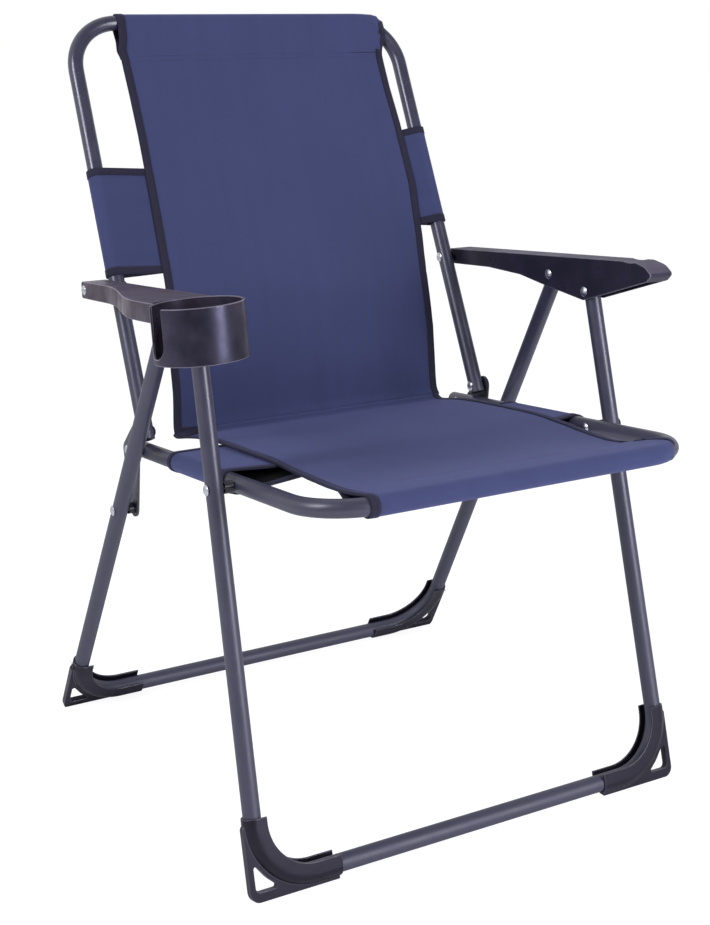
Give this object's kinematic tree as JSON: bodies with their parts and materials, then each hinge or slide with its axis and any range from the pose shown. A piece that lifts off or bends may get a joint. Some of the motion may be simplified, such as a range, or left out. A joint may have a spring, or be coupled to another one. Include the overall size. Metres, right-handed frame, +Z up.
{
  "type": "folding camp chair",
  "caption": "Folding camp chair: bent steel tube frames, a hanging textile sling, moulded armrests with a cup holder, and link plates that fold it flat",
  "frame": {"origin": "on the floor, under the middle of the chair's outline", "axes": "+X is the sitter's left, +Y points to the back of the chair, +Z is up; the sitter faces -Y"},
  "size_m": [0.5854, 0.624, 0.8363],
  "materials": {
    "frame_tube": "anthracite powder coat on steel tube",
    "link_plate": "anthracite powder coat on steel plate",
    "shoe": "moulded black plastic, satin to gloss",
    "armrest": "moulded black plastic, fine satin",
    "small_plastic": "black plastic bushes, washers and end plugs",
    "rivet": "zinc plated steel rivets",
    "sling_cloth": "navy woven polyester with black edge binding"
  },
  "bodies": {
    "rear_legs": {"rear_leg_frame": "frame_tube", "shoe_rear_right": "shoe", "shoe_rear_left": "shoe", "rivets_rear_leg_arm": "rivet", "washers_rear_leg_arm": "small_plastic", "rivets_rear_leg_link": "rivet", "bushes_rear_leg_link": "small_plastic"},
    "arm_right": {"armrest_cup": "armrest", "rivet_arm_cup": "rivet"},
    "arm_left": {"armrest_plain": "armrest", "rivet_arm_plain": "rivet"},
    "front_legs": {"front_leg_frame": "frame_tube", "shoe_front_right": "shoe", "shoe_front_left": "shoe", "rivets_front_leg_arm": "rivet"},
    "seat": {"seat_frame": "frame_tube", "seat_end_plugs": "small_plastic", "rivets_front_leg_seat": "rivet", "bushes_front_leg_seat": "small_plastic", "rivets_seat_link": "rivet", "bushes_seat_link": "small_plastic", "sling_seat": "sling_cloth", "seat_tab_right": "sling_cloth", "seat_tab_left": "sling_cloth"},
    "link_right": {"link_plate_right": "link_plate", "rivet_link_right": "rivet"},
    "link_left": {"link_plate_left": "link_plate", "rivet_link_left": "rivet"},
    "back": {"back_frame": "frame_tube", "back_end_plugs": "small_plastic", "rivets_back_link": "rivet", "washers_back_link": "small_plastic", "rivets_back_arm": "rivet", "washers_back_arm": "small_plastic", "sling_back": "sling_cloth", "back_tab_right": "sling_cloth", "back_tab_left": "sling_cloth"}
  },
  "joints": [
    {"name": "armrest_right_fold", "type": "hinge", "parent": "rear_legs", "child": "arm_right", "pos_m": [0, -0.03242, 0.5387], "axis": [1, 0, 0], "range_deg": [-53.62, 0]},
    {"name": "front_legs_fold", "type": "hinge", "parent": "arm_right", "child": "front_legs", "pos_m": [0, -0.09751, 0.52813], "axis": [1, 0, 0], "range_deg": [0, 96.5]},
    {"name": "seat_fold", "type": "hinge", "parent": "front_legs", "child": "seat", "pos_m": [0, -0.13614, 0.38226], "axis": [1, 0, 0], "range_deg": [-96.09, 0]},
    {"name": "link_right_fold", "type": "hinge", "parent": "seat", "child": "link_right", "pos_m": [0, 0.11608, 0.35677], "axis": [1, 0, 0], "range_deg": [-92.25, 0]},
    {"name": "back_fold", "type": "hinge", "parent": "link_right", "child": "back", "pos_m": [0, 0.09193, 0.38127], "axis": [1, 0, 0], "range_deg": [0, 197.64]},
    {"name": "armrest_left_fold", "type": "hinge", "parent": "rear_legs", "child": "arm_left", "pos_m": [0, -0.03242, 0.5387], "axis": [1, 0, 0], "range_deg": [-53.62, 0]},
    {"name": "link_left_fold", "type": "hinge", "parent": "seat", "child": "link_left", "pos_m": [0, 0.11608, 0.35677], "axis": [1, 0, 0], "range_deg": [-92.25, 0]}
  ],
  "couplings": [
    {"joint": "front_legs_fold", "follows": "armrest_right_fold", "ratio": -1.7997},
    {"joint": "seat_fold", "follows": "armrest_right_fold", "ratio": 1.7921},
    {"joint": "link_right_fold", "follows": "armrest_right_fold", "ratio": 1.7204},
    {"joint": "back_fold", "follows": "armrest_right_fold", "ratio": -3.6859},
    {"joint": "armrest_left_fold", "follows": "armrest_right_fold", "ratio": 1},
    {"joint": "link_left_fold", "follows": "armrest_right_fold", "ratio": 1.7204}
  ]
}
